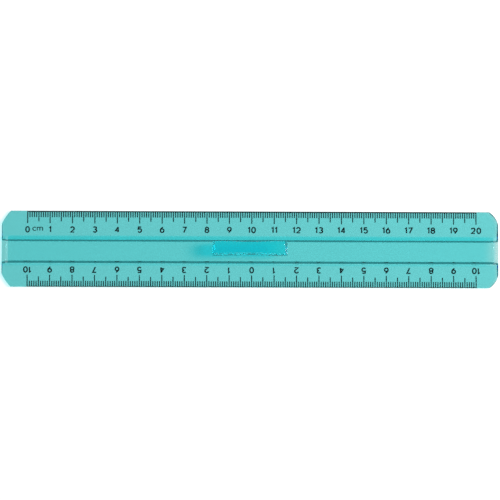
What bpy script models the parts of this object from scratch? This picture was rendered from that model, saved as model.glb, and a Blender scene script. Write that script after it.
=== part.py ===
"""Flat 20 cm ruler of clear teal plastic with a middle rib, a finger grip and two printed scales.

Frame: X along the ruler (the upper scale counts up towards +X), +Y towards the upper scale,
+Z up. The origin is on the underside, at the middle of the ruler. Sizes are in metres.

The ruler is one moulding, ruler_body. Everything else is ink: two graduations, each a comb of
lines that hang on a line printed along the edge, and the numerals, one node for each digit.
"""

import math

import bmesh
import bpy
from mathutils import Matrix, Vector

# --- The moulding ---------------------------------------------------------------------------
LENGTH = 0.2212
WIDTH = 0.0340
BLADE_THICKNESS = 0.0020
CORNER_CUT_X = 0.0040        # how far a corner cut reaches along the long edge
CORNER_CUT_Y = 0.0059        # how far it reaches along the end
LEFT_CORNER_RADIUS = 0.020   # the corner cuts bulge outwards: slightly on the left,
RIGHT_CORNER_RADIUS = 0.009  # more on the right
CORNER_STEPS = 8

# The middle rib is a raised ridge with steep sides and sloping ends. The channel under it is
# open at both ends of the ruler. Neither is quite midway between the long edges.
RIB_HEIGHT = 0.0020          # above the blade's top face
RIB_WIDTH = 0.0128           # at its foot
RIB_SHIFT = -0.00055         # of its middle, along Y
RIB_SIDE_LEAN = 0.0004       # how far each long side leans in towards the top
RIB_END_INSET = 0.0011       # from the blade's end to the foot of the rib's end slope
RIB_END_SLOPE = 0.0017       # how far the end slope runs in from there
RIB_ROOF = 0.0024            # plastic left over the channel
CHANNEL_WIDTH = 0.01015      # at the underside
CHANNEL_SHIFT = -0.001025    # of its middle, along Y
CHANNEL_SIDE_LEAN = 0.0004

# The grip is an upright bar on the rib, hollowed along both sides for finger and thumb.
GRIP_LENGTH = 0.0334
GRIP_WIDTH = 0.0061
GRIP_HEIGHT = 0.0080         # above the top of the rib
GRIP_END_DRAFT = 0.0011      # how much each end leans in over the whole height
GRIP_SIDE_DRAFT = 0.0003
SCOOP_LENGTH = 0.0260
SCOOP_DEPTH = 0.0004
SCOOP_STEPS = 12
SINK = 0.0004                # how far a joined or cutting solid reaches past the face it meets

# --- The print ------------------------------------------------------------------------------
MILLIMETRE = 0.001
CENTIMETRE = 10 * MILLIMETRE
LEAST_END_MARGIN = 0.008     # a scale stays at least this far from the blade's ends
PRINT_SHIFT = 0.0008         # both scales sit this far towards +X of the middle
INK_GAP = 0.0003             # clearance between the ink and the plastic under it
INK_THICKNESS = 0.0001
EDGE_CLEARANCE = 0.00015     # from the blade's long edge to the line printed along it
EDGE_LINE_WIDTH = 0.00040
TICK_WIDTH = 0.00040
MILLIMETRE_TICK = 0.0027
HALF_CENTIMETRE_TICK = 0.0046
CENTIMETRE_TICK = 0.0054
UPPER_ROW_SHIFT = -0.000225  # the numerals stand midway between the lines and the rib, moved
LOWER_ROW_SHIFT = 0.000225   # this far outwards
NUMERAL_HEIGHT = 0.0029
NUMERAL_WIDTH = 0.0021
ONE_WIDTH = 0.0011           # a 1 is narrower than the other digits
NUMERAL_STROKE = 0.00046
NUMERAL_SPACING = 0.00045    # between the two digits of one number
UNIT_HEIGHT = 0.0019
UNIT_POSITION = 0.0045       # the unit mark's middle, along X from the upper scale's zero

# --- Finishes: base colour, roughness, metallic -----------------------------------------------
CLEAR_TEAL = ((0.16, 0.59, 0.57, 1.0), 0.06, 0.0)
BLACK_INK = ((0.012, 0.016, 0.018, 1.0), 0.45, 0.0)


# --- Small helpers ------------------------------------------------------------------------------
def clear_scene():
    """Remove every object of the open file."""
    for existing in list(bpy.data.objects):
        bpy.data.objects.remove(existing, do_unlink=True)


def make_material(name, finish):
    """A Principled material from a finish (colour, roughness, metallic)."""
    colour, roughness, metallic = finish
    material = bpy.data.materials.new(name)
    material.use_nodes = True
    shader = material.node_tree.nodes["Principled BSDF"]
    shader.inputs["Base Color"].default_value = colour
    shader.inputs["Roughness"].default_value = roughness
    shader.inputs["Metallic"].default_value = metallic
    material.diffuse_color = colour
    return material


def add_object(name, mesh, material, location=(0.0, 0.0, 0.0), turn=0.0):
    """Put a mesh into the scene as a named object, turned about Z."""
    piece = bpy.data.objects.new(name, mesh)
    piece.location = location
    piece.rotation_euler.z = turn
    bpy.context.scene.collection.objects.link(piece)
    if not mesh.materials:
        mesh.materials.append(material)
    else:
        piece.material_slots[0].link = "OBJECT"
        piece.material_slots[0].material = material
    return piece


def loft(name, rings):
    """A closed solid between rings with the same number of points, lowest ring first."""
    builder = bmesh.new()
    loops = [[builder.verts.new(point) for point in ring] for ring in rings]
    builder.faces.new(reversed(loops[0]))
    builder.faces.new(loops[-1])
    count = len(loops[0])
    for lower, upper in zip(loops, loops[1:]):
        for i in range(count):
            j = (i + 1) % count
            builder.faces.new((lower[i], lower[j], upper[j], upper[i]))
    mesh = bpy.data.meshes.new(name)
    builder.to_mesh(mesh)
    builder.free()
    return mesh


def prism(name, outline, bottom, top):
    """A flat outline, counter-clockwise, as a solid from one height to another."""
    return loft(name, [[(x, y, z) for x, y in outline] for z in (bottom, top)])


def join_solid(target, tool_mesh, name, operation="UNION"):
    """Join (or cut) a solid into a target with an exact Boolean and a hidden tool."""
    tool = bpy.data.objects.new(name, tool_mesh)
    tool.hide_render = True
    tool.display_type = "WIRE"
    bpy.context.scene.collection.objects.link(tool)
    boolean = target.modifiers.new(name, "BOOLEAN")
    boolean.operation = operation
    boolean.solver = "EXACT"
    boolean.object = tool
    return tool


def arc_between(start, end, radius, steps):
    """Points of the arc from start to end that bulges to the right of its travel."""
    chord = Vector(end) - Vector(start)
    outward = Vector((chord.y, -chord.x)).normalized()
    half = chord.length / 2
    centre = (Vector(start) + Vector(end)) / 2 - outward * math.sqrt(radius**2 - half**2)
    sweep = 2 * math.asin(half / radius)
    spoke = Vector(start) - centre
    points = []
    for i in range(steps + 1):
        turned = Matrix.Rotation(sweep * i / steps, 2) @ spoke
        points.append(tuple(centre + turned))
    return points


# --- The moulding -------------------------------------------------------------------------------
def blade_outline():
    """The blade's outline, counter-clockwise: four bulged corner cuts joined by straight edges."""
    x, y = LENGTH / 2, WIDTH / 2
    cut_x, cut_y = x - CORNER_CUT_X, y - CORNER_CUT_Y
    corners = (
        ((x, cut_y), (cut_x, y), RIGHT_CORNER_RADIUS),
        ((-cut_x, y), (-x, cut_y), LEFT_CORNER_RADIUS),
        ((-x, -cut_y), (-cut_x, -y), LEFT_CORNER_RADIUS),
        ((cut_x, -y), (x, -cut_y), RIGHT_CORNER_RADIUS),
    )
    outline = []
    for start, end, radius in corners:
        outline += arc_between(start, end, radius, CORNER_STEPS)
    return outline


def rectangle(inset, width, shift, z):
    """A rectangle's corners at a height, counter-clockwise, each end inset from the blade's."""
    x, low, high = LENGTH / 2 - inset, shift - width / 2, shift + width / 2
    return [(x, low, z), (x, high, z), (-x, high, z), (-x, low, z)]


def rib_mesh():
    """The rib's outside: a sunk foot, then sloping faces on all four sides up to a flat top."""
    surface = BLADE_THICKNESS
    return loft("rib", [
        rectangle(RIB_END_INSET, RIB_WIDTH, RIB_SHIFT, surface - SINK),
        rectangle(RIB_END_INSET, RIB_WIDTH, RIB_SHIFT, surface),
        rectangle(RIB_END_INSET + RIB_END_SLOPE, RIB_WIDTH - 2 * RIB_SIDE_LEAN, RIB_SHIFT,
                  surface + RIB_HEIGHT),
    ])


def channel_mesh():
    """The hollow under the rib, open below and at both ends of the ruler."""
    crown = CHANNEL_WIDTH - 2 * CHANNEL_SIDE_LEAN
    return loft("channel", [
        rectangle(-SINK, CHANNEL_WIDTH, CHANNEL_SHIFT, -SINK),
        rectangle(-SINK, CHANNEL_WIDTH, CHANNEL_SHIFT, 0.0),
        rectangle(-SINK, crown, CHANNEL_SHIFT, BLADE_THICKNESS + RIB_HEIGHT - RIB_ROOF),
    ])


def grip_outline(inset_x, inset_y, z):
    """The grip's plan at a height: a bar whose long sides are hollowed by a shallow arc."""
    half_x, half_y = GRIP_LENGTH / 2 - inset_x, GRIP_WIDTH / 2 - inset_y
    half_scoop = SCOOP_LENGTH / 2
    radius = (half_scoop**2 + SCOOP_DEPTH**2) / (2 * SCOOP_DEPTH)
    side = []
    for i in range(SCOOP_STEPS + 1):
        x = half_scoop * (1 - 2 * i / SCOOP_STEPS)
        hollow = math.sqrt(radius**2 - x**2) - (radius - SCOOP_DEPTH)
        side.append((x, half_y - hollow))
    upper = [(half_x, half_y)] + side + [(-half_x, half_y)]
    lower = [(-x, -y) for x, y in upper]
    return [(x, y, z) for x, y in upper + lower]


def grip_mesh():
    """The grip bar: its ends and sides lean in towards the top so that it leaves the mould."""
    seat = BLADE_THICKNESS + RIB_HEIGHT
    return loft("grip", [
        grip_outline(0.0, 0.0, seat - SINK),
        grip_outline(0.0, 0.0, seat),
        grip_outline(GRIP_END_DRAFT, GRIP_SIDE_DRAFT, seat + GRIP_HEIGHT),
    ])


def build_body():
    """The one moulding: blade, hollow rib and grip as a single closed solid."""
    plastic = make_material("clear_teal_plastic", CLEAR_TEAL)
    blade = prism("ruler_body", blade_outline(), 0.0, BLADE_THICKNESS)
    body = add_object("ruler_body", blade, plastic)
    join_solid(body, rib_mesh(), "rib_tool")
    join_solid(body, channel_mesh(), "channel_tool", "DIFFERENCE")
    join_solid(body, grip_mesh(), "grip_tool")
    return body


# --- The graduations ------------------------------------------------------------------------------
def scale_centimetres():
    """Whole centimetres that fit on the blade, an even number so that a zero can sit midway."""
    room = LENGTH - 2 * LEAST_END_MARGIN
    return 2 * math.floor(room / (2 * CENTIMETRE))


def tick_length(millimetre):
    """How long the line at a whole millimetre is."""
    if millimetre % 10 == 0:
        return CENTIMETRE_TICK
    if millimetre % 5 == 0:
        return HALF_CENTIMETRE_TICK
    return MILLIMETRE_TICK


def comb_outline():
    """The outline of a graduation whose base line lies on y = 0 and whose lines point to -y."""
    millimetres = scale_centimetres() * 10
    left = -millimetres / 2 * MILLIMETRE
    half = TICK_WIDTH / 2
    outline = [(-left + half, 0.0), (left - half, 0.0)]
    for i in range(millimetres + 1):
        x = left + i * MILLIMETRE
        tip = -tick_length(i)
        corners = [(x - half, -EDGE_LINE_WIDTH), (x - half, tip),
                   (x + half, tip), (x + half, -EDGE_LINE_WIDTH)]
        if i == 0:
            corners = corners[1:]
        if i == millimetres:
            corners = corners[:-1]
        outline += corners
    return outline


def ink_height():
    """The height of the ink's underside."""
    return BLADE_THICKNESS + INK_GAP


def build_graduations(ink):
    """One comb along each long edge; the lower one is the same comb turned round."""
    comb = prism("graduation", comb_outline(), 0.0, INK_THICKNESS)
    line_y = WIDTH / 2 - EDGE_CLEARANCE
    add_object("upper_graduation", comb, ink, (PRINT_SHIFT, line_y, ink_height()))
    add_object("lower_graduation", comb, ink, (PRINT_SHIFT, -line_y, ink_height()), math.pi)


# --- The numerals ---------------------------------------------------------------------------------
# A digit is drawn in a cell of height 1 around the origin. A stroke is a list of moves: a point,
# or an arc given by centre, radii, start angle and end angle in degrees. All have one pen width.
PEN = NUMERAL_STROKE / NUMERAL_HEIGHT
RIM = (NUMERAL_WIDTH / NUMERAL_HEIGHT - PEN) / 2    # the pen's path keeps inside the cell
STEM = (ONE_WIDTH / NUMERAL_HEIGHT - PEN) / 2
CREST = 0.5 - PEN / 2
BOWL = 0.27                     # the round part of 6 and 9, as a radius of the pen's path
ARC_DEGREES = 30                # one chord of a drawn arc
BLUNTEST_MITRE = 0.55           # a sharp corner's mitre is cut short below this cosine


def arc(centre_x, centre_y, radius_x, radius_y, start, end):
    """Points along an elliptical arc, with the angles in degrees."""
    steps = max(2, round(abs(end - start) / ARC_DEGREES))
    points = []
    for i in range(steps + 1):
        angle = math.radians(start + (end - start) * i / steps)
        points.append((centre_x + radius_x * math.cos(angle),
                       centre_y + radius_y * math.sin(angle)))
    return points


def digit_strokes():
    """The strokes of each digit: (points, closed)."""
    low_bowl = CREST - BOWL
    eye = (CREST - 0.03) / 2
    three_low = (CREST + 0.03) / 2
    return {
        "0": [(arc(0, 0, RIM, CREST, 0, 330), True)],
        "1": [([(-STEM - 0.02, 0.25), (STEM, CREST), (STEM, -CREST)], False)],
        "2": [(arc(0, low_bowl, RIM, BOWL, 165, -35) + [(-RIM, -CREST), (RIM, -CREST)], False)],
        "3": [(arc(0, CREST - eye, RIM * 0.9, eye, 150, -90), False),
              (arc(0, three_low - CREST, RIM, three_low, 90, -150), False)],
        "4": [([(RIM, -0.18), (-RIM, -0.18), (0.12, CREST)], False),
              ([(0.12, CREST), (0.12, -CREST)], False)],
        "5": [([(RIM * 0.85, CREST), (-RIM * 0.7, CREST), (-RIM * 0.85, 0.08)]
               + arc(0, -low_bowl, RIM, BOWL, 120, -150), False)],
        "6": [(arc(0, -low_bowl, RIM, BOWL, 0, 330), True),
              ([(-RIM, -low_bowl), (-RIM * 0.80, 0.10), (0.10, CREST)], False)],
        "7": [([(-RIM, CREST), (RIM, CREST), (-0.12, -CREST)], False)],
        "8": [(arc(0, CREST - eye, RIM * 0.88, eye, 0, 330), True),
              (arc(0, three_low - CREST, RIM, three_low, 0, 330), True)],
        "9": [(arc(0, low_bowl, RIM, BOWL, 0, 330), True),
              ([(RIM, low_bowl), (RIM * 0.80, -0.10), (-0.10, -CREST)], False)],
    }


def letter_strokes():
    """The strokes of the unit mark's letters, in a cell of the same height and twice the width."""
    return {
        "c": [(arc(0, 0, 0.42, CREST, 45, 315), False)],
        "m": [([(-0.62, -CREST), (-0.62, CREST - 0.1)]
               + arc(-0.31, 0.13, 0.31, CREST - 0.13, 150, 0) + [(0.0, -CREST)], False),
              (arc(0.31, 0.13, 0.31, CREST - 0.13, 160, 0) + [(0.62, -CREST)], False)],
    }


def mitre_offset(points, index, closed, distance):
    """A path point moved sideways by a pen's half width, along the mitre of its two sides."""
    here = Vector(points[index])
    count = len(points)
    directions = []
    if closed or index > 0:
        directions.append((here - Vector(points[index - 1])).normalized())
    if closed or index < count - 1:
        directions.append((Vector(points[(index + 1) % count]) - here).normalized())
    normals = [Vector((-d.y, d.x)) for d in directions]
    mitre = sum(normals, Vector((0.0, 0.0))).normalized()
    stretch = 1 / max(mitre.dot(normals[0]), BLUNTEST_MITRE)
    return here + mitre * distance * stretch


def stroke_mesh(name, points, closed, scale):
    """A pen stroke along a path as a solid of the ink's thickness."""
    half = PEN / 2
    count = len(points)
    left = [mitre_offset(points, i, closed, half) * scale for i in range(count)]
    right = [mitre_offset(points, i, closed, -half) * scale for i in range(count)]
    builder = bmesh.new()
    corners = []
    for a, b in zip(left, right):
        corners.append([builder.verts.new((p.x, p.y, z))
                        for p, z in ((a, 0.0), (a, INK_THICKNESS), (b, INK_THICKNESS), (b, 0.0))])
    for i in range(count if closed else count - 1):
        here, there = corners[i], corners[(i + 1) % count]
        for k in range(4):
            m = (k + 1) % 4
            builder.faces.new((here[k], here[m], there[m], there[k]))
    if not closed:
        builder.faces.new(reversed(corners[0]))
        builder.faces.new(corners[-1])
    bmesh.ops.recalc_face_normals(builder, faces=builder.faces)
    mesh = bpy.data.meshes.new(name)
    builder.to_mesh(mesh)
    builder.free()
    return mesh


def glyph_mesh(name, strokes, height):
    """One closed solid from all strokes of a digit or letter."""
    first, *rest = [stroke_mesh(f"{name}_stroke_{i}", points, closed, height)
                    for i, (points, closed) in enumerate(strokes)]
    if not rest:
        return first
    drawing = bpy.data.objects.new(name, first)
    bpy.context.scene.collection.objects.link(drawing)
    tools = [join_solid(drawing, mesh, f"{name}_tool_{i}") for i, mesh in enumerate(rest)]
    bpy.context.view_layer.update()
    graph = bpy.context.evaluated_depsgraph_get()
    joined = bpy.data.meshes.new_from_object(drawing.evaluated_get(graph), depsgraph=graph)
    for used in [drawing, *tools]:
        bpy.data.objects.remove(used, do_unlink=True)
    return joined


def digit_places(text):
    """The digits of a number with the X offsets of their middles from the number's middle."""
    widths = [ONE_WIDTH if digit == "1" else NUMERAL_WIDTH for digit in text]
    start = -(sum(widths) + NUMERAL_SPACING * (len(text) - 1)) / 2
    places = []
    for digit, width in zip(text, widths):
        places.append((digit, start + width / 2))
        start += width + NUMERAL_SPACING
    return places


def row_distance():
    """How far the middle between the centimetre lines' tips and the rib is from the centre line."""
    tips = WIDTH / 2 - EDGE_CLEARANCE - CENTIMETRE_TICK
    return (tips + RIB_WIDTH / 2) / 2


def place_number(glyphs, number, prefix, x, y, turn, ink):
    """Place the digits of one number, each as a node of its own."""
    text = str(number)
    names = [""] if len(text) == 1 else ["_tens", "_units"]
    for (digit, offset), suffix in zip(digit_places(text), names):
        place = x + offset * math.cos(turn)
        add_object(f"{prefix}{suffix}", glyphs[digit], ink, (place, y, ink_height()), turn)


def build_numerals(ink):
    """The upper numerals count from 0; the lower ones count both ways from a middle 0."""
    glyphs = {digit: glyph_mesh(f"digit_{digit}", strokes, NUMERAL_HEIGHT)
              for digit, strokes in digit_strokes().items()}
    upper_y = row_distance() + UPPER_ROW_SHIFT
    lower_y = -row_distance() - LOWER_ROW_SHIFT
    centimetres = scale_centimetres()
    half = centimetres // 2
    for i in range(centimetres + 1):
        x = PRINT_SHIFT + (i - half) * CENTIMETRE
        place_number(glyphs, i, f"upper_numeral_{i}", x, upper_y, 0.0, ink)
        side = "left_" if i < half else "right_" if i > half else ""
        value = abs(i - half)
        place_number(glyphs, value, f"lower_numeral_{side}{value}", x, lower_y, math.pi, ink)


def build_unit_mark(ink):
    """A plain cm beside the upper zero."""
    row_y = row_distance() + UPPER_ROW_SHIFT
    zero_x = PRINT_SHIFT - scale_centimetres() / 2 * CENTIMETRE
    middle = zero_x + UNIT_POSITION
    spread = 0.72 * UNIT_HEIGHT
    for letter, offset in (("c", -spread), ("m", spread * 0.72)):
        mesh = glyph_mesh(f"letter_{letter}", letter_strokes()[letter], UNIT_HEIGHT)
        add_object(f"unit_mark_{letter}", mesh, ink, (middle + offset, row_y, ink_height()))


def main():
    """Build the whole ruler."""
    clear_scene()
    build_body()
    ink = make_material("black_ink", BLACK_INK)
    build_graduations(ink)
    build_numerals(ink)
    build_unit_mark(ink)


main()
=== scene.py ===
"""Looks of a flat see-through ruler with a hollow middle rib, a finger grip and printed scales.

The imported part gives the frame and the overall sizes. This script puts a finer moulding, with
rounded edges and drawn-out slopes, and thin printed ink in the place of the plain solids, and
adds a pale floor, soft studio light and the camera. All sizes are in metres, +Z up, with +X
along the ruler and +Y towards the scale that counts from 0 to 20.
"""

import logging  # noqa: E402
import math  # noqa: E402
from collections.abc import Callable, Iterable, Mapping, Sequence  # noqa: E402
from dataclasses import dataclass  # noqa: E402
from enum import Enum  # noqa: E402

import bmesh  # noqa: E402
import bpy  # noqa: E402
from mathutils import Matrix, Vector  # noqa: E402


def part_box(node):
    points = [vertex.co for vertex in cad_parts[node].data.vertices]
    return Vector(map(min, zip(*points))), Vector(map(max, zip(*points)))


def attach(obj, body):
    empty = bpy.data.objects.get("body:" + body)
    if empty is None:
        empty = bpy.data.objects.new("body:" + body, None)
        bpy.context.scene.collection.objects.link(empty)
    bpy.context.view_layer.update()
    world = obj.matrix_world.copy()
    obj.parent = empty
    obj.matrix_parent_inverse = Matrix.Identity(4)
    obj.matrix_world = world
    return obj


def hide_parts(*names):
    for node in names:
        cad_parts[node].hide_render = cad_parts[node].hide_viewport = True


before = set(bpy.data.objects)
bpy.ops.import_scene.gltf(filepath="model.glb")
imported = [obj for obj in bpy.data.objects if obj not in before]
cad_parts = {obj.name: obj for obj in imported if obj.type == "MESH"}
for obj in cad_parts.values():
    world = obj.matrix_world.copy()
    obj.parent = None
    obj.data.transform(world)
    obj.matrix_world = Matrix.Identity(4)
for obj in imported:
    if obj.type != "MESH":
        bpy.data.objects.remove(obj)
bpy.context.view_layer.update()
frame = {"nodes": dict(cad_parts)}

LOG = logging.getLogger("ruler")
TINY = 1e-7                    # points nearer than this are one point

Point2 = tuple[float, float]
Point3 = tuple[float, float, float]
Colour = tuple[float, float, float, float]


# --- Shader nodes -------------------------------------------------------------------------------
class Value:
    """A number socket that takes part in arithmetic by adding Math nodes to its sheet."""

    def __init__(self, sheet: "NodeSheet", socket: bpy.types.NodeSocket) -> None:
        """Wrap a socket.

        Args:
            sheet: the node sheet that new Math nodes go into.
            socket: an output socket that carries a number.
        """
        self.sheet = sheet
        self.socket = socket

    def _maths(self, operation: str, first: object, second: object) -> "Value":
        """Add one Math node.

        Args:
            operation: the Math node's operation.
            first: its first input, a Value or a number.
            second: its second input, a Value or a number.

        Returns:
            The node's result.
        """
        made = self.sheet.node("ShaderNodeMath", {"operation": operation}, {0: first, 1: second})
        return Value(self.sheet, made.outputs[0])

    def __add__(self, other: object) -> "Value":
        """Return self + other."""
        return self._maths("ADD", self, other)

    def __radd__(self, other: object) -> "Value":
        """Return other + self."""
        return self._maths("ADD", other, self)

    def __sub__(self, other: object) -> "Value":
        """Return self - other."""
        return self._maths("SUBTRACT", self, other)

    def __mul__(self, other: object) -> "Value":
        """Return self * other."""
        return self._maths("MULTIPLY", self, other)

    def at_least(self, other: object) -> "Value":
        """Return the larger of the two."""
        return self._maths("MAXIMUM", self, other)


class NodeSheet:
    """One material with its node tree, emptied and ready to be filled."""

    def __init__(self, name: str) -> None:
        """Make the material.

        Args:
            name: the material's name.
        """
        self.material = bpy.data.materials.new(name)
        self.material.use_nodes = True
        self.tree = self.material.node_tree
        self.tree.nodes.clear()
        self.output = self.node("ShaderNodeOutputMaterial")

    def node(
        self,
        kind: str,
        settings: Mapping[str, object] | None = None,
        sockets: Mapping[str | int, object] | None = None,
    ) -> bpy.types.Node:
        """Add a node, set its settings first, then its sockets.

        Args:
            kind: the node's type.
            settings: properties of the node; "stops" gives a ramp's (position, colour) pairs.
            sockets: a value or a link (a Value, a socket or a node) for each input.

        Returns:
            The new node.
        """
        made = self.tree.nodes.new(kind)
        for key, setting in (settings or {}).items():
            if key == "stops":
                self._set_stops(made.color_ramp, setting)
            else:
                setattr(made, key, setting)
        for key, given in (sockets or {}).items():
            self._feed(made.inputs[key], given)
        return made

    def _feed(self, socket: bpy.types.NodeSocket, given: object) -> None:
        """Link a Value, a socket or a node's first output to a socket, or set its value."""
        if isinstance(given, Value):
            given = given.socket
        if isinstance(given, bpy.types.Node):
            given = given.outputs[0]
        if isinstance(given, bpy.types.NodeSocket):
            self.tree.links.new(given, socket)
        else:
            socket.default_value = given

    @staticmethod
    def _set_stops(ramp: bpy.types.ColorRamp, stops: Sequence[tuple[float, Colour]]) -> None:
        """Give a colour ramp its stops."""
        while len(ramp.elements) > 1:
            ramp.elements.remove(ramp.elements[-1])
        ramp.elements[0].position, ramp.elements[0].color = stops[0]
        for position, colour in stops[1:]:
            ramp.elements.new(position).color = colour

    def place(self, stretch: Point3 = (1.0, 1.0, 1.0), turn: float = 0.0) -> bpy.types.Node:
        """The object's own coordinates, stretched and turned about Z.

        Args:
            stretch: the scale along X, Y and Z.
            turn: the turn about Z in radians.

        Returns:
            A Mapping node whose first output is the vector.
        """
        where = self.node("ShaderNodeTexCoord")
        return self.node("ShaderNodeMapping", None, {
            "Vector": where.outputs["Object"], "Scale": stretch, "Rotation": (0.0, 0.0, turn)})

    def noise(self, scale: float, detail: float = 2.0, stretch: Point3 = (1.0, 1.0, 1.0),
              turn: float = 0.0) -> Value:
        """Soft noise from 0 to 1.

        Args:
            scale: how many features there are to a metre.
            detail: how many finer layers are added.
            stretch: how the noise is squeezed along X, Y and Z.
            turn: its turn about Z in radians.

        Returns:
            The noise as a number.
        """
        made = self.node("ShaderNodeTexNoise", None, {
            "Vector": self.place(stretch, turn), "Scale": scale, "Detail": detail})
        return Value(self, made.outputs["Fac"])

    def ramp(self, factor: Value, low: float, high: float) -> Value:
        """A number that goes from 0 to 1 while the factor goes from low to high.

        Args:
            factor: the number that drives the ramp.
            low: where the ramp starts.
            high: where it ends.

        Returns:
            The ramp's result.
        """
        made = self.node(
            "ShaderNodeMapRange", {"clamp": True, "interpolation_type": "SMOOTHSTEP"},
            {"Value": factor, "From Min": low, "From Max": high})
        return Value(self, made.outputs[0])

    def blend(self, factor: object, first: object, second: object) -> bpy.types.NodeSocket:
        """Mix two colours.

        Args:
            factor: the share of the second colour.
            first: the first colour.
            second: the second colour.

        Returns:
            The colour socket.
        """
        made = self.node("ShaderNodeMix", {"data_type": "RGBA"}, {0: factor, 6: first, 7: second})
        return made.outputs[2]

    def bump(self, height: Value, distance: float, strength: float) -> bpy.types.Node:
        """A Bump node.

        Args:
            height: the height map, 0 to 1.
            distance: the height that 1 stands for, in metres.
            strength: how much of it is used.

        Returns:
            The Bump node, to be linked to a Normal socket.
        """
        return self.node("ShaderNodeBump", None, {
            "Height": height, "Distance": distance, "Strength": strength})


# --- Finishes -----------------------------------------------------------------------------------
@dataclass(frozen=True)
class ClearPlastic:
    """Clear tinted polystyrene from a polished mould, lightly handled.

    The dye takes nearly all red and little green or blue on the light's way through the plastic.
    Lamp rays and scattered rays pass straight through, and rays that have turned inside too
    often are let out, so that no trapped ray ends black. That is a look and not real optics.
    """

    name: str = "dyed_polystyrene"
    surface_tint: tuple[float, float, float] = (0.44, 0.65, 0.63)
    entry_loss: float = 0.05       # what each face turns back of the lamps' light
    freed_from: float = 1.85       # the count of turns inside from which rays are let straight out
    freeing_span: float = 0.5      # the further count over which all of them are
    red_loss: float = 240.0        # absorption of each colour per metre of plastic
    green_loss: float = 10.0
    blue_loss: float = 2.0
    refraction: float = 1.59
    polish: float = 0.03
    wear: float = 0.05
    flow_height: float = 0.000002
    scratch_height: float = 0.0000008

    def make(self) -> bpy.types.Material:
        """Build the material.

        Returns:
            A transmissive material with a dyed body, flow marks and fine wiping scratches.
        """
        sheet = NodeSheet(self.name)
        flow = sheet.noise(90.0, 2.0, (0.35, 1.0, 1.0))
        wiping = sheet.noise(900.0, 3.0, (0.05, 1.0, 1.0), 0.10)
        crossing = sheet.noise(700.0, 3.0, (0.06, 1.0, 1.0), -0.45)
        hairlines = sheet.ramp(wiping, 0.66, 0.74).at_least(sheet.ramp(crossing, 0.68, 0.76))
        smears = sheet.ramp(sheet.noise(35.0, 3.0), 0.45, 0.75)
        red, green, blue = self.surface_tint
        tint = sheet.blend(smears * 0.5, (red, green, blue, 1.0),
                           (red, green * 0.985, blue * 0.99, 1.0))
        relief = sheet.bump(hairlines, self.scratch_height, 0.5)
        waves = sheet.bump(flow, self.flow_height, 0.6)
        sheet.tree.links.new(relief.outputs[0], waves.inputs["Normal"])
        shader = sheet.node("ShaderNodeBsdfPrincipled", None, {
            "Base Color": tint,
            "Roughness": self.polish + smears * (self.wear * 0.3) + hairlines * self.wear,
            "Normal": waves,
            "IOR": self.refraction,
            "Transmission Weight": 1.0,
        })
        strongest = max(self.red_loss, self.green_loss, self.blue_loss)
        dye = tuple(1 - loss / strongest
                    for loss in (self.red_loss, self.green_loss, self.blue_loss))
        body = sheet.node("ShaderNodeVolumeAbsorption", None, {
            "Color": (*dye, 1.0), "Density": strongest})
        way_in = sheet.node("ShaderNodeBsdfTransparent", None, {
            "Color": (*[1 - self.entry_loss] * 3, 1.0)})
        path = sheet.node("ShaderNodeLightPath")
        trapped = sheet.ramp(Value(sheet, path.outputs["Ray Depth"]), self.freed_from,
                             self.freed_from + self.freeing_span)
        surface = sheet.node("ShaderNodeMixShader", None, {
            0: Value(sheet, path.outputs["Is Shadow Ray"]).at_least(
                path.outputs["Is Diffuse Ray"]).at_least(trapped),
            1: shader, 2: way_in})
        sheet.tree.links.new(surface.outputs[0], sheet.output.inputs["Surface"])
        sheet.tree.links.new(body.outputs[0], sheet.output.inputs["Volume"])
        return sheet.material


@dataclass(frozen=True)
class PrintedInk:
    """Black screen-printing ink, satin, a little uneven in thickness."""

    name: str = "printing_ink"
    black: Colour = (0.006, 0.010, 0.011, 1.0)
    thin: Colour = (0.020, 0.032, 0.034, 1.0)
    roughness: float = 0.42
    grain_height: float = 0.000004

    def make(self) -> bpy.types.Material:
        """Build the material.

        Returns:
            An opaque dark material with a printed film's mottle and grain.
        """
        sheet = NodeSheet(self.name)
        mottle = sheet.noise(1400.0, 3.0)
        patches = sheet.noise(220.0, 2.0)
        thinning = sheet.ramp(patches, 0.5, 0.8) * 0.5 + sheet.ramp(mottle, 0.55, 0.8) * 0.5
        shader = sheet.node("ShaderNodeBsdfPrincipled", None, {
            "Base Color": sheet.blend(thinning, self.black, self.thin),
            "Roughness": self.roughness + mottle * 0.2 - 0.1,
            "Normal": sheet.bump(mottle, self.grain_height, 0.5),
        })
        sheet.tree.links.new(shader.outputs[0], sheet.output.inputs["Surface"])
        return sheet.material


@dataclass(frozen=True)
class PaperFloor:
    """A plain pale matt floor, with a very faint mottle."""

    name: str = "pale_floor"
    light: Colour = (0.90, 0.90, 0.90, 1.0)
    shade: Colour = (0.885, 0.885, 0.885, 1.0)

    def make(self) -> bpy.types.Material:
        """Build the material.

        Returns:
            A matt material.
        """
        sheet = NodeSheet(self.name)
        shader = sheet.node("ShaderNodeBsdfPrincipled", None, {
            "Base Color": sheet.blend(sheet.noise(6.0), self.light, self.shade),
            "Roughness": 1.0,
            "Specular IOR Level": 0.0,
        })
        sheet.tree.links.new(shader.outputs[0], sheet.output.inputs["Surface"])
        return sheet.material


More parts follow.
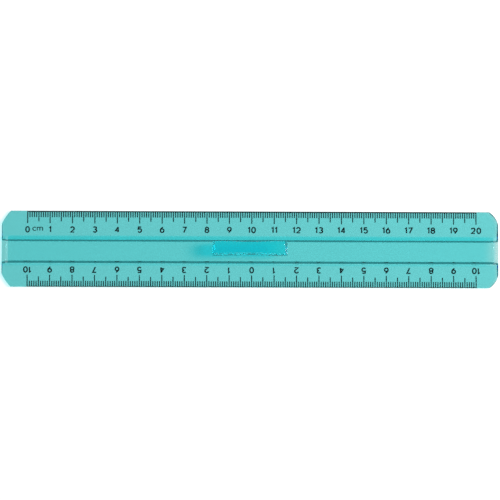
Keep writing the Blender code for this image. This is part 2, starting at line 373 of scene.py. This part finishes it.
# --- Mesh helpers -------------------------------------------------------------------------------
def rounded(corners: Sequence[tuple[float, float, float]], steps: int) -> list[Point2]:
    """Round the inner corners of an open path, with the same number of points each time.

    Args:
        corners: (x, y, radius) of each corner; the two ends keep their place.
        steps: chords in each rounding.

    Returns:
        The points of the rounded path.
    """
    path: list[Point2] = [corners[0][:2]]
    for before, here, after in zip(corners, corners[1:], corners[2:]):
        corner, radius = Vector(here[:2]), here[2]
        back, ahead = Vector(before[:2]) - corner, Vector(after[:2]) - corner
        room = min(back.length, ahead.length) * 0.49
        if room < TINY or radius < TINY or back.angle(ahead) > math.pi - 0.01:
            path += [tuple(corner)] * (steps + 1)
            continue
        back.normalize()
        ahead.normalize()
        half_angle = back.angle(ahead) / 2
        reach = min(radius / math.tan(half_angle), room)
        radius = reach * math.tan(half_angle)
        centre = corner + (back + ahead).normalized() * (radius / math.sin(half_angle))
        first = corner + back * reach - centre
        last = corner + ahead * reach - centre
        sweep = first.angle_signed(last)
        for i in range(steps + 1):
            spoke = Matrix.Rotation(-sweep * i / steps, 2) @ first
            path.append(tuple(centre + spoke))
    path.append(corners[-1][:2])
    return path


def loft(name: str, rings: Sequence[Sequence[Point3]]) -> bpy.types.Mesh:
    """Make a closed solid through rings that have the same number of points.

    Args:
        name: the mesh's name.
        rings: the rings, in order; the first and the last are closed with a face.

    Returns:
        The mesh, faces outward.
    """
    builder = bmesh.new()
    loops = [[builder.verts.new(point) for point in ring] for ring in rings]
    count = len(loops[0])
    builder.faces.new(loops[0])
    builder.faces.new(loops[-1])
    for here, there in zip(loops, loops[1:]):
        for i in range(count):
            j = (i + 1) % count
            builder.faces.new((here[i], here[j], there[j], there[i]))
    bmesh.ops.remove_doubles(builder, verts=builder.verts, dist=TINY)
    bmesh.ops.recalc_face_normals(builder, faces=builder.faces)
    mesh = bpy.data.meshes.new(name)
    builder.to_mesh(mesh)
    builder.free()
    return mesh


def soft_ramp(amount: float, blend: float) -> float:
    """A straight ramp from 0 to 1 with both its corners rounded.

    Args:
        amount: the distance along the ramp, 0 at its foot and 1 at its crest.
        blend: how far each rounding reaches, as a share of the ramp.

    Returns:
        The height, 0 to 1.
    """
    if amount <= -blend:
        return 0.0
    if amount < blend:
        return (amount + blend) ** 2 / (4 * blend)
    if amount <= 1 - blend:
        return amount
    if amount < 1 + blend:
        return 1 - (1 + blend - amount) ** 2 / (4 * blend)
    return 1.0


class Slot(Enum):
    """The record's material slots."""

    PLASTIC = "clear_teal_plastic"
    INK = "black_ink"


def add_piece(name: str, mesh: bpy.types.Mesh, material: bpy.types.Material,
              stands_for: Iterable[str]) -> bpy.types.Object:
    """Put a finished mesh into the scene, riding on the ruler.

    Args:
        name: the piece's name.
        mesh: its mesh, already in place.
        material: its finish.
        stands_for: the CAD nodes that it replaces.

    Returns:
        The piece.
    """
    piece = bpy.data.objects.new(name, mesh)
    bpy.context.scene.collection.objects.link(piece)
    mesh.materials.clear()
    mesh.materials.append(material)
    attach(piece, "root")
    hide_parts(*stands_for)
    return piece


# --- The moulding -------------------------------------------------------------------------------
@dataclass
class EndShape:
    """How one end of the blade is cut."""

    direction: int             # +1 towards +X, -1 towards -X
    corner_radius: float       # of the bulge of its two corner cuts
    rib_inset: float           # from the end's face to the rib's slope
    chamfer: float             # under the end's edge


@dataclass
class Moulding:
    """The clear body: a blade, a hollow rib along its middle and a finger grip on the rib."""

    low: Vector
    high: Vector
    blade_thickness: float = 0.0020
    edge_radius: float = 0.00012       # of the long edges
    chamfer_blend: float = 0.0008      # how far the chamfer runs out along the long edges
    cut_x: float = 0.0040
    cut_y: float = 0.0059
    rib_height: float = 0.0020
    rib_width: float = 0.0128
    rib_shift: float = -0.00055        # of the rib's middle, along Y
    rib_side_lean: float = 0.0004
    rib_end_slope: float = 0.0017
    rib_crest_radius: float = 0.0002
    rib_foot_radius: float = 0.0003
    roof: float = 0.0024
    channel_width: float = 0.01015
    channel_shift: float = -0.001025   # of the channel's middle, along Y
    channel_side_lean: float = 0.0008
    flare_length: float = 0.0035
    channel_flare: float = 0.0005      # how much the channel's sides spread at its ends
    channel_crown_radius: float = 0.0002
    channel_mouth_radius: float = 0.0003
    slope_blend: float = 0.12
    round_steps: int = 4
    grip_length: float = 0.0334
    grip_width: float = 0.0061
    grip_end_lean: float = 0.0011
    grip_side_lean: float = 0.0003
    grip_corner_radius: float = 0.0004
    grip_crest_radius: float = 0.00035
    grip_foot_flare: float = 0.0002
    scoop_length: float = 0.0260
    scoop_depth: float = 0.0003
    scoop_steps: int = 24
    sink: float = 0.0004               # how far the grip reaches into the rib
    sharp_angle: float = 32.0          # in degrees, from which an edge is shaded as sharp
    ends: tuple[EndShape, ...] = (
        EndShape(-1, 0.020, 0.0014, 0.00025), EndShape(1, 0.009, 0.0008, 0.0006))

    @property
    def half_length(self) -> float:
        """Half the blade's length."""
        return (self.high.x - self.low.x) / 2

    @property
    def half_width(self) -> float:
        """Half the blade's width."""
        return (self.high.y - self.low.y) / 2

    @property
    def seat(self) -> float:
        """The height of the rib's top, where the grip stands."""
        return self.blade_thickness + self.rib_height

    def half_width_at(self, inset: float, end: EndShape) -> float:
        """Half the blade's width at a distance from one end.

        Args:
            inset: the distance from the end's face.
            end: the end.

        Returns:
            The half width there, on the corner cut's arc or on the straight edge.
        """
        if inset >= self.cut_x:
            return self.half_width
        start = Vector((0.0, self.half_width - self.cut_y))
        finish = Vector((self.cut_x, self.half_width))
        chord = finish - start
        inward = Vector((chord.y, -chord.x)).normalized()
        centre = (start + finish) / 2 + inward * math.sqrt(
            end.corner_radius**2 - (chord.length / 2) ** 2)
        return centre.y + math.sqrt(end.corner_radius**2 - (inset - centre.x) ** 2)

    def chamfer_at(self, inset: float, end: EndShape) -> float:
        """The size of the chamfer under the blade's edge at a distance from one end."""
        fade = soft_ramp((inset - self.cut_x + self.chamfer_blend) / (2 * self.chamfer_blend),
                         0.3)
        return end.chamfer + (self.edge_radius - end.chamfer) * fade

    def section(self, inset: float, end: EndShape) -> list[Point2]:
        """The closed section across the ruler at a distance from one end.

        Args:
            inset: the distance from the end's face.
            end: the end.

        Returns:
            (y, z) points, starting at the channel's middle and going round by +Y.
        """
        rise = soft_ramp((inset - end.rib_inset) / self.rib_end_slope, self.slope_blend)
        flare = self.channel_flare * (1 - soft_ramp(inset / self.flare_length, 0.3))
        depth = self.seat - self.roof
        edge = self.half_width_at(inset, end)
        chamfer = self.chamfer_at(inset, end)
        bottom = max(end.chamfer - inset, 0.0)
        top = self.blade_thickness
        halves = []
        for side in (1, -1):
            foot = self.rib_width / 2 + side * self.rib_shift
            mouth = self.channel_width / 2 + side * self.channel_shift + flare
            halves.append([(side * y, z) for y, z in rounded([
                (0.0, depth, 0.0),
                (mouth - self.channel_side_lean, depth, self.channel_crown_radius),
                (mouth, bottom, self.channel_mouth_radius),
                (edge - chamfer + bottom, bottom, self.edge_radius),
                (edge, chamfer, self.edge_radius),
                (edge, top, self.edge_radius),
                (foot, top, self.rib_foot_radius),
                (foot - self.rib_side_lean * rise, top + self.rib_height * rise,
                 self.rib_crest_radius),
                (0.0, top + self.rib_height * rise, 0.0),
            ], self.round_steps)])
        return halves[0] + halves[1][-2:0:-1]

    def insets(self, end: EndShape) -> list[float]:
        """The stations at one end, as distances from the end's face, the face first."""
        chamfer_steps = 4
        edge = [end.chamfer * i / chamfer_steps for i in range(chamfer_steps)]
        inner = self.cut_x + self.chamfer_blend
        count = 38
        return edge + [end.chamfer + (inner - end.chamfer) * i / count
                       for i in range(count + 1)]

    def bar_mesh(self) -> bpy.types.Mesh:
        """The blade with its hollow rib, lofted from end to end."""
        rings: list[list[Point3]] = []
        left, right = self.ends
        middle = (self.low.x + self.high.x) / 2
        for end, stations in ((left, self.insets(left)), (right, self.insets(right)[::-1])):
            for inset in stations:
                x = middle + end.direction * (self.half_length - inset)
                rings.append([(x, y, z) for y, z in self.section(inset, end)])
        return loft("bar", rings)

    def grip_ring(self, draw_in: float, lean: float, z: float) -> list[Point3]:
        """The grip's plan at a height.

        Args:
            draw_in: how far the outline is drawn in all round.
            lean: the share of the ends' and sides' lean that is used up at this height.
            z: the height.

        Returns:
            The points of the outline: a bar whose long sides are hollowed for the fingers.
        """
        half_x = self.grip_length / 2 - draw_in - lean * self.grip_end_lean
        half_y = self.grip_width / 2 - draw_in - lean * self.grip_side_lean
        half_scoop = self.scoop_length / 2
        radius = max(self.grip_corner_radius - draw_in, 0.00005)
        side = []
        for i in range(1, self.scoop_steps):
            share = 2 * i / self.scoop_steps - 1
            hollow = self.scoop_depth * math.cos(share * math.pi / 2) ** 2
            side.append((-half_scoop * share, half_y - hollow))
        corner = rounded([(half_x, 0.0, 0.0), (half_x, half_y, radius),
                          (half_scoop, half_y, 0.0)], self.round_steps)[1:]
        far = [(-x, y) for x, y in reversed(corner)]
        upper = corner + side + far
        lower = [(-x, -y) for x, y in upper]
        return [(x, y, z) for x, y in upper + lower]

    def grip_mesh(self) -> bpy.types.Mesh:
        """The grip bar with a flared foot and a rounded crest."""
        height = self.high.z - self.seat
        flare, crest = self.grip_foot_flare, self.grip_crest_radius
        rings = [self.grip_ring(-flare, 0.0, self.seat - self.sink)]
        steps = self.round_steps
        for i in range(steps + 1):
            angle = math.radians(90 * i / steps)
            rise = flare * (1 - math.cos(angle))
            rings.append(self.grip_ring(-flare * (1 - math.sin(angle)), rise / height,
                                        self.seat + rise))
        for i in range(steps + 1):
            angle = math.radians(90 * i / steps)
            rise = height - crest * (1 - math.sin(angle))
            rings.append(self.grip_ring(crest * (1 - math.cos(angle)), rise / height,
                                        self.seat + rise))
        return loft("grip", rings)

    def build(self, plastic: bpy.types.Material) -> bpy.types.Object:
        """Build the body and dress it.

        Args:
            plastic: its finish.

        Returns:
            The body piece.
        """
        bar = bpy.data.objects.new("bar", self.bar_mesh())
        grip = bpy.data.objects.new("grip", self.grip_mesh())
        for part in (bar, grip):
            bpy.context.scene.collection.objects.link(part)
        union = bar.modifiers.new("grip", "BOOLEAN")
        union.operation = "UNION"
        union.solver = "EXACT"
        union.object = grip
        bpy.context.view_layer.update()
        graph = bpy.context.evaluated_depsgraph_get()
        mesh = bpy.data.meshes.new_from_object(bar.evaluated_get(graph), depsgraph=graph)
        for part in (bar, grip):
            bpy.data.objects.remove(part, do_unlink=True)
        mesh.name = "clear_body"
        mesh.shade_smooth()
        mesh.set_sharp_from_angle(angle=math.radians(self.sharp_angle))
        return add_piece("clear_body", mesh, plastic, ["ruler_body"])


# --- The print ----------------------------------------------------------------------------------
class Direction(Enum):
    """Which way a scale reads."""

    UPRIGHT = 0.0
    TURNED = math.pi


@dataclass
class Print:
    """What both scales share: the film's place and the sizes of lines and numerals."""

    surface: float                  # the height of the face that is printed on
    half_width: float               # of the blade
    rib_foot: float                 # the rib's half width at its foot
    shift: float = 0.0008           # the scales' middle, along X
    lift: float = 0.000005          # from the plastic to the film
    film: float = 0.00003           # the film's thickness
    centimetres: int = 20
    edge_clearance: float = 0.00015
    edge_line: float = 0.00040
    line_width: float = 0.00040
    millimetre_line: float = 0.0027
    half_line: float = 0.0046
    centimetre_line: float = 0.0054
    numeral_height: float = 0.0029
    numeral_width: float = 0.0021
    one_width: float = 0.0011
    stroke: float = 0.00056
    spacing: float = 0.00045

    @property
    def bottom(self) -> float:
        """The film's underside."""
        return self.surface + self.lift

    @property
    def row(self) -> float:
        """The middle between the centimetre lines' tips and the rib's foot."""
        tips = self.half_width - self.edge_clearance - self.centimetre_line
        return (tips + self.rib_foot) / 2

    def line_length(self, millimetre: int) -> float:
        """The length of the line at a whole millimetre."""
        if millimetre % 10 == 0:
            return self.centimetre_line
        return self.half_line if millimetre % 5 == 0 else self.millimetre_line


class Pen:
    """Draws outlines and pen strokes as a thin film of ink into one mesh."""

    def __init__(self, name: str, sizes: Print, turn: Direction) -> None:
        """Start an empty drawing.

        Args:
            name: the mesh's name.
            sizes: the print's sizes.
            turn: whether the drawing is turned round the ruler's middle.
        """
        self.name = name
        self.sizes = sizes
        self.builder = bmesh.new()
        self.turn = turn

    def outline(self, points: Sequence[Point2]) -> None:
        """Add a filled outline.

        Args:
            points: its points in order.
        """
        low = [self.builder.verts.new((x, y, self.sizes.bottom)) for x, y in points]
        high = [self.builder.verts.new((x, y, self.sizes.bottom + self.sizes.film))
                for x, y in points]
        self.builder.faces.new(low)
        self.builder.faces.new(high)
        for i in range(len(points)):
            j = (i + 1) % len(points)
            self.builder.faces.new((low[i], low[j], high[j], high[i]))

    def stroke(self, points: Sequence[Point2], closed: bool, width: float) -> None:
        """Add a pen stroke as a strip with mitred corners.

        Args:
            points: the pen's path.
            closed: whether the path returns to its start.
            width: the pen's width.
        """
        count = len(points)
        sides: list[list[bmesh.types.BMVert]] = []
        for i in range(count):
            here = Vector(points[i])
            ways = []
            if closed or i > 0:
                ways.append((here - Vector(points[i - 1])).normalized())
            if closed or i < count - 1:
                ways.append((Vector(points[(i + 1) % count]) - here).normalized())
            normals = [Vector((-way.y, way.x)) for way in ways]
            mitre = sum(normals, Vector((0.0, 0.0))).normalized()
            reach = width / 2 / max(mitre.dot(normals[0]), 0.55)
            ends = (here + mitre * reach, here - mitre * reach)
            sides.append([self.builder.verts.new((p.x, p.y, self.sizes.bottom + z))
                          for p, z in ((ends[0], 0.0), (ends[0], self.sizes.film),
                                       (ends[1], self.sizes.film), (ends[1], 0.0))])
        for i in range(count if closed else count - 1):
            here, there = sides[i], sides[(i + 1) % count]
            for k in range(4):
                m = (k + 1) % 4
                self.builder.faces.new((here[k], here[m], there[m], there[k]))
        if not closed:
            self.builder.faces.new(sides[0])
            self.builder.faces.new(sides[-1])

    def finish(self) -> bpy.types.Mesh:
        """Close the drawing.

        Returns:
            Its mesh, turned round the scales' middle if it is a turned one.
        """
        bmesh.ops.recalc_face_normals(self.builder, faces=self.builder.faces)
        middle = Vector((self.sizes.shift, 0.0, 0.0))
        turn = (Matrix.Translation(middle) @ Matrix.Rotation(self.turn.value, 4, "Z")
                @ Matrix.Translation(-middle))
        bmesh.ops.transform(self.builder, matrix=turn, verts=self.builder.verts)
        mesh = bpy.data.meshes.new(self.name)
        self.builder.to_mesh(mesh)
        self.builder.free()
        return mesh


def arc(centre: Point2, radii: Point2, start: float, end: float) -> list[Point2]:
    """Points along an elliptical arc.

    Args:
        centre: its centre.
        radii: its radii along X and Y.
        start: the first angle in degrees.
        end: the last angle in degrees.

    Returns:
        The points, about 12 degrees apart.
    """
    steps = max(3, round(abs(end - start) / 12))
    angles = [math.radians(start + (end - start) * i / steps) for i in range(steps + 1)]
    return [(centre[0] + radii[0] * math.cos(a), centre[1] + radii[1] * math.sin(a))
            for a in angles]


Stroke = tuple[list[Point2], bool]


@dataclass
class Lettering:
    """Plain engraver's digits, drawn in a cell of height 1 around the origin."""

    pen: float                 # the pen's width as a share of the height
    rim: float                 # the pen path's half width
    stem: float                # the same for a 1
    bowl: float = 0.27

    @property
    def crest(self) -> float:
        """The pen path's half height."""
        return 0.5 - self.pen / 2

    def digits(self) -> dict[str, list[Stroke]]:
        """The strokes of each digit."""
        rim, crest, bowl, stem = self.rim, self.crest, self.bowl, self.stem
        low = crest - bowl
        eye = (crest - 0.03) / 2
        belly = (crest + 0.03) / 2
        return {
            "0": [(arc((0, 0), (rim, crest), 0, 348), True)],
            "1": [([(-stem - 0.02, 0.25), (stem, crest), (stem, -crest)], False)],
            "2": [(arc((0, low), (rim, bowl), 165, -35) + [(-rim, -crest), (rim, -crest)], False)],
            "3": [(arc((0, crest - eye), (rim * 0.9, eye), 150, -90), False),
                  (arc((0, belly - crest), (rim, belly), 90, -150), False)],
            "4": [([(rim, -0.18), (-rim, -0.18), (0.12, crest)], False),
                  ([(0.12, crest), (0.12, -crest)], False)],
            "5": [([(rim * 0.85, crest), (-rim * 0.7, crest), (-rim * 0.85, 0.08)]
                   + arc((0, -low), (rim, bowl), 120, -150), False)],
            "6": [(arc((0, -low), (rim, bowl), 0, 348), True),
                  ([(-rim, -low), (-rim * 0.80, 0.10), (0.10, crest)], False)],
            "7": [([(-rim, crest), (rim, crest), (-0.12, -crest)], False)],
            "8": [(arc((0, crest - eye), (rim * 0.88, eye), 0, 348), True),
                  (arc((0, belly - crest), (rim, belly), 0, 348), True)],
            "9": [(arc((0, low), (rim, bowl), 0, 348), True),
                  ([(rim, low), (rim * 0.80, -0.10), (-0.10, -crest)], False)],
        }

    def letters(self) -> dict[str, list[Stroke]]:
        """The strokes of the unit mark."""
        crest = self.crest
        hump = crest - 0.13
        return {
            "c": [(arc((0, 0), (0.42, crest), 45, 315), False)],
            "m": [([(-0.62, -crest), (-0.62, crest - 0.1)]
                   + arc((-0.31, 0.13), (0.31, hump), 150, 0) + [(0.0, -crest)], False),
                  (arc((0.31, 0.13), (0.31, hump), 160, 0) + [(0.62, -crest)], False)],
        }


@dataclass
class Scale:
    """One printed scale: its lines along an edge and its numerals."""

    name: str
    sizes: Print
    direction: Direction
    reading: Callable[[int], int]      # the number printed at a whole centimetre
    row_shift: float                   # how far the numerals stand out from the row's middle

    def centimetre_x(self, centimetre: int) -> float:
        """The place of a whole centimetre along X, before the scale is turned."""
        return self.sizes.shift + (centimetre - self.sizes.centimetres / 2) * 0.01

    def lines(self) -> bpy.types.Mesh:
        """The graduation: lines that hang on a line along the edge."""
        sizes = self.sizes
        pen = Pen(f"{self.name}_lines", sizes, self.direction)
        edge = sizes.half_width - sizes.edge_clearance
        half = sizes.line_width / 2
        first, last = self.centimetre_x(0) - half, self.centimetre_x(sizes.centimetres) + half
        points = [(last, edge), (first, edge)]
        for i in range(sizes.centimetres * 10 + 1):
            x = self.centimetre_x(0) + i * 0.001
            tip = edge - sizes.line_length(i)
            corners = [(x - half, edge - sizes.edge_line), (x - half, tip),
                       (x + half, tip), (x + half, edge - sizes.edge_line)]
            if i == 0:
                corners = corners[1:]
            if i == sizes.centimetres * 10:
                corners = corners[:-1]
            points += corners
        pen.outline(points)
        return pen.finish()

    def numerals(self, lettering: Lettering) -> bpy.types.Mesh:
        """All numbers of the scale.

        Args:
            lettering: the digits' strokes.

        Returns:
            One mesh of separate digits.
        """
        sizes = self.sizes
        pen = Pen(f"{self.name}_numerals", sizes, self.direction)
        digits = lettering.digits()
        row = sizes.row + self.row_shift
        for centimetre in range(sizes.centimetres + 1):
            text = str(self.reading(centimetre))
            widths = [sizes.one_width if digit == "1" else sizes.numeral_width
                      for digit in text]
            start = self.centimetre_x(centimetre)
            start -= (sum(widths) + sizes.spacing * (len(text) - 1)) / 2
            for digit, width in zip(text, widths):
                for points, closed in digits[digit]:
                    placed = [(start + width / 2 + x * sizes.numeral_height,
                               row + y * sizes.numeral_height) for x, y in points]
                    pen.stroke(placed, closed, sizes.stroke)
                start += width + sizes.spacing
        return pen.finish()

    def build(self, ink: bpy.types.Material, lettering: Lettering,
              nodes: Iterable[str]) -> list[bpy.types.Object]:
        """Build the scale's lines and numerals.

        Args:
            ink: their finish.
            lettering: the digits' strokes.
            nodes: the names of all CAD nodes, from which this scale's own are taken.

        Returns:
            The two pieces.
        """
        lines = add_piece(f"{self.name}_lines", self.lines(), ink,
                          [f"{self.name}_graduation"])
        own = [node for node in nodes if node.startswith(f"{self.name}_numeral")]
        numerals = add_piece(f"{self.name}_numerals", self.numerals(lettering), ink,
                             own)
        return [lines, numerals]


@dataclass
class UnitMark:
    """A plain cm beside the upper scale's zero."""

    sizes: Print
    height: float = 0.0019
    position: float = 0.0045           # along X from the zero

    def build(self, ink: bpy.types.Material, lettering: Lettering) -> bpy.types.Object:
        """Draw the mark.

        Args:
            ink: its finish.
            lettering: the letters' strokes.

        Returns:
            The piece.
        """
        sizes = self.sizes
        pen = Pen("unit_mark", sizes, Direction.UPRIGHT)
        middle = sizes.shift - sizes.centimetres / 2 * 0.01 + self.position
        spread = 0.72 * self.height
        for letter, offset in (("c", -spread), ("m", spread * 0.72)):
            for points, closed in lettering.letters()[letter]:
                placed = [(middle + offset + x * self.height, sizes.row + y * self.height)
                          for x, y in points]
                pen.stroke(placed, closed, lettering.pen * self.height)
        return add_piece("unit_mark", pen.finish(), ink,
                         ["unit_mark_c", "unit_mark_m"])


# --- Studio -------------------------------------------------------------------------------------
@dataclass
class Softbox:
    """A rectangular area light that looks at the ruler."""

    name: str
    azimuth: float             # degrees from +X towards +Y
    elevation: float           # degrees above the floor
    distance: float
    size: Point2
    power: float
    colour: tuple[float, float, float] = (1.0, 1.0, 1.0)

    def build(self) -> bpy.types.Object:
        """Hang the light."""
        lamp = bpy.data.lights.new(self.name, "AREA")
        lamp.shape = "RECTANGLE"
        lamp.size, lamp.size_y = self.size
        lamp.energy = self.power
        lamp.color = self.colour
        light = bpy.data.objects.new(self.name, lamp)
        bpy.context.scene.collection.objects.link(light)
        light.visible_glossy = False       # small fillets would sparkle with its reflection
        across, up = math.radians(self.azimuth), math.radians(self.elevation)
        way = Vector((math.cos(across) * math.cos(up), math.sin(across) * math.cos(up),
                      math.sin(up)))
        light.location = way * self.distance
        light.rotation_euler = way.to_track_quat("Z", "Y").to_euler()
        return light


@dataclass
class Studio:
    """Floor, surrounding light, lamps and camera."""

    floor_size: float = 6.0
    floor_cells: int = 24
    floor_gap: float = 0.00005
    surround: float = 0.15
    view_width: float = 0.22302        # what the picture takes in at the ruler
    view_distance: float = 1.5
    tilt: float = 5.5                  # the camera's lean towards -Y, in degrees
    roll: float = 0.2
    aim: Point3 = (0.0, -0.0001, 0.0)
    lamps: tuple[Softbox, ...] = (
        Softbox("key", 4.0, 45.0, 3.0, (0.8, 0.9), 148.0),
    )

    def build_floor(self) -> bpy.types.Object:
        """Lay the floor, which isn't part of the object."""
        builder = bmesh.new()
        bmesh.ops.create_grid(builder, x_segments=self.floor_cells, y_segments=self.floor_cells,
                              size=self.floor_size / 2)
        mesh = bpy.data.meshes.new("floor")
        builder.to_mesh(mesh)
        builder.free()
        floor = bpy.data.objects.new("floor", mesh)
        floor.location.z = -self.floor_gap
        bpy.context.scene.collection.objects.link(floor)
        mesh.materials.append(PaperFloor().make())
        return floor

    def build_world(self) -> bpy.types.World:
        """Set an even white surround."""
        world = bpy.data.worlds.new("surround")
        world.use_nodes = True
        background = world.node_tree.nodes["Background"]
        background.inputs["Color"].default_value = (1.0, 1.0, 1.0, 1.0)
        background.inputs["Strength"].default_value = self.surround
        bpy.context.scene.world = world
        return world

    def build_camera(self) -> bpy.types.Object:
        """Place the camera nearly straight above the ruler."""
        lens = bpy.data.cameras.new("camera")
        lens.sensor_width = 36.0
        lens.lens = lens.sensor_width * self.view_distance / self.view_width
        lens.clip_start, lens.clip_end = 0.05, 50.0
        camera = bpy.data.objects.new("camera", lens)
        bpy.context.scene.collection.objects.link(camera)
        turn = (Matrix.Rotation(math.radians(self.tilt), 4, "X")
                @ Matrix.Rotation(math.radians(self.roll), 4, "Z"))
        target = Vector(self.aim)
        camera.matrix_world = Matrix.Translation(target) @ turn @ Matrix.Translation(
            (0.0, 0.0, self.view_distance))
        bpy.context.scene.camera = camera
        return camera

    def build(self) -> None:
        """Set up everything around the ruler."""
        self.build_floor()
        self.build_world()
        for lamp in self.lamps:
            lamp.build()
        self.build_camera()
        bpy.context.scene.view_settings.view_transform = "Standard"


def report(piece: bpy.types.Object) -> None:
    """Say in the log what a piece is."""
    LOG.info("%s: %d faces, finish %s", piece.name, len(piece.data.polygons),
             piece.data.materials[0].name)


def main() -> None:
    """Build the ruler's looks, then the studio."""
    logging.basicConfig(level=logging.INFO, format="%(name)s: %(message)s")
    low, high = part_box("ruler_body")
    moulding = Moulding(low, high)
    report(moulding.build(ClearPlastic().make()))
    ink = PrintedInk().make()
    sizes = Print(surface=0.0, half_width=moulding.half_width,
                  rib_foot=moulding.rib_width / 2)
    pen = sizes.stroke / sizes.numeral_height
    lettering = Lettering(
        pen=pen,
        rim=(sizes.numeral_width / sizes.numeral_height - pen) / 2,
        stem=(sizes.one_width / sizes.numeral_height - pen) / 2,
    )
    half = sizes.centimetres // 2
    scales = (
        Scale("upper", sizes, Direction.UPRIGHT, lambda centimetre: centimetre, -0.000225),
        Scale("lower", sizes, Direction.TURNED, lambda centimetre: abs(centimetre - half),
              0.000225),
    )
    for scale in scales:
        for piece in scale.build(ink, lettering, frame["nodes"]):
            report(piece)
    report(UnitMark(sizes).build(ink, lettering))
    Studio().build()


if __name__ == "__main__":
    main()
